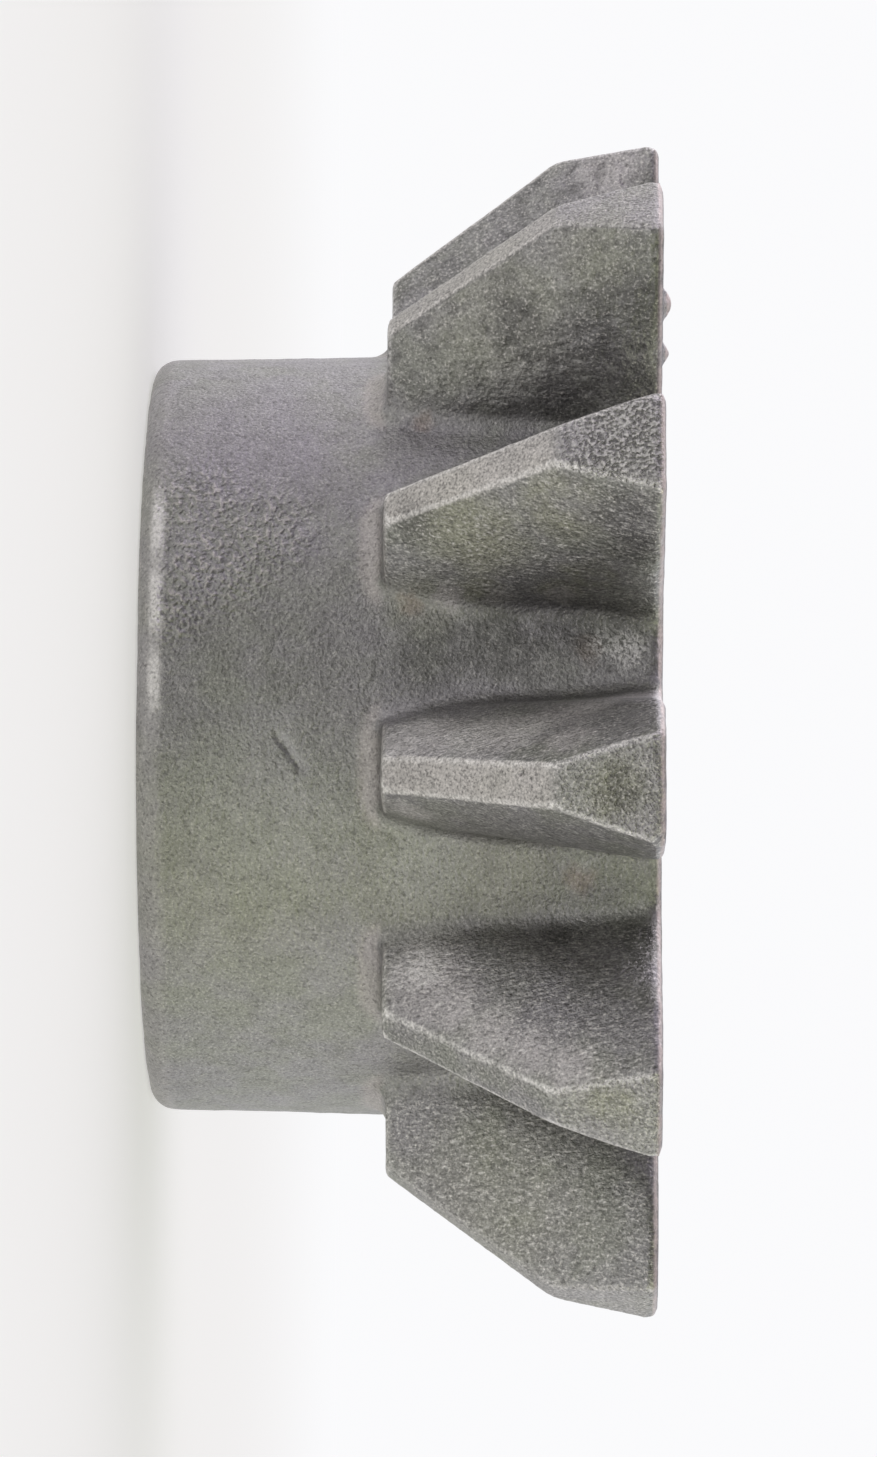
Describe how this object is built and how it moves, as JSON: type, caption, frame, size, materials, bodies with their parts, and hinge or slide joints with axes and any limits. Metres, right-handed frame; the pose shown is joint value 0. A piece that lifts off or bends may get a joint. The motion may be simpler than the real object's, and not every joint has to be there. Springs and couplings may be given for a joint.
{
  "type": "bevel pinion gear",
  "caption": "Cast iron bevel pinion with straight teeth on a short drafted hub, bored and keyed for a shaft, to drive a larger bevel wheel at a right angle",
  "frame": {"origin": "on the gear's axis, in the plane of the hub's end face, which the gear stands on", "axes": "+Z along the axis from the hub's end to the large end of the teeth; the tooth that faces the front stands 4.5 degrees past -Y towards +X, in line with the keyway"},
  "size_m": [0.0731, 0.0731, 0.0311],
  "materials": {
    "cast_iron": "as cast and shot-blasted, dull grey with a fine grain"
  },
  "bodies": {
    "root": {"bevel_pinion": "cast_iron"}
  },
  "joints": []
}
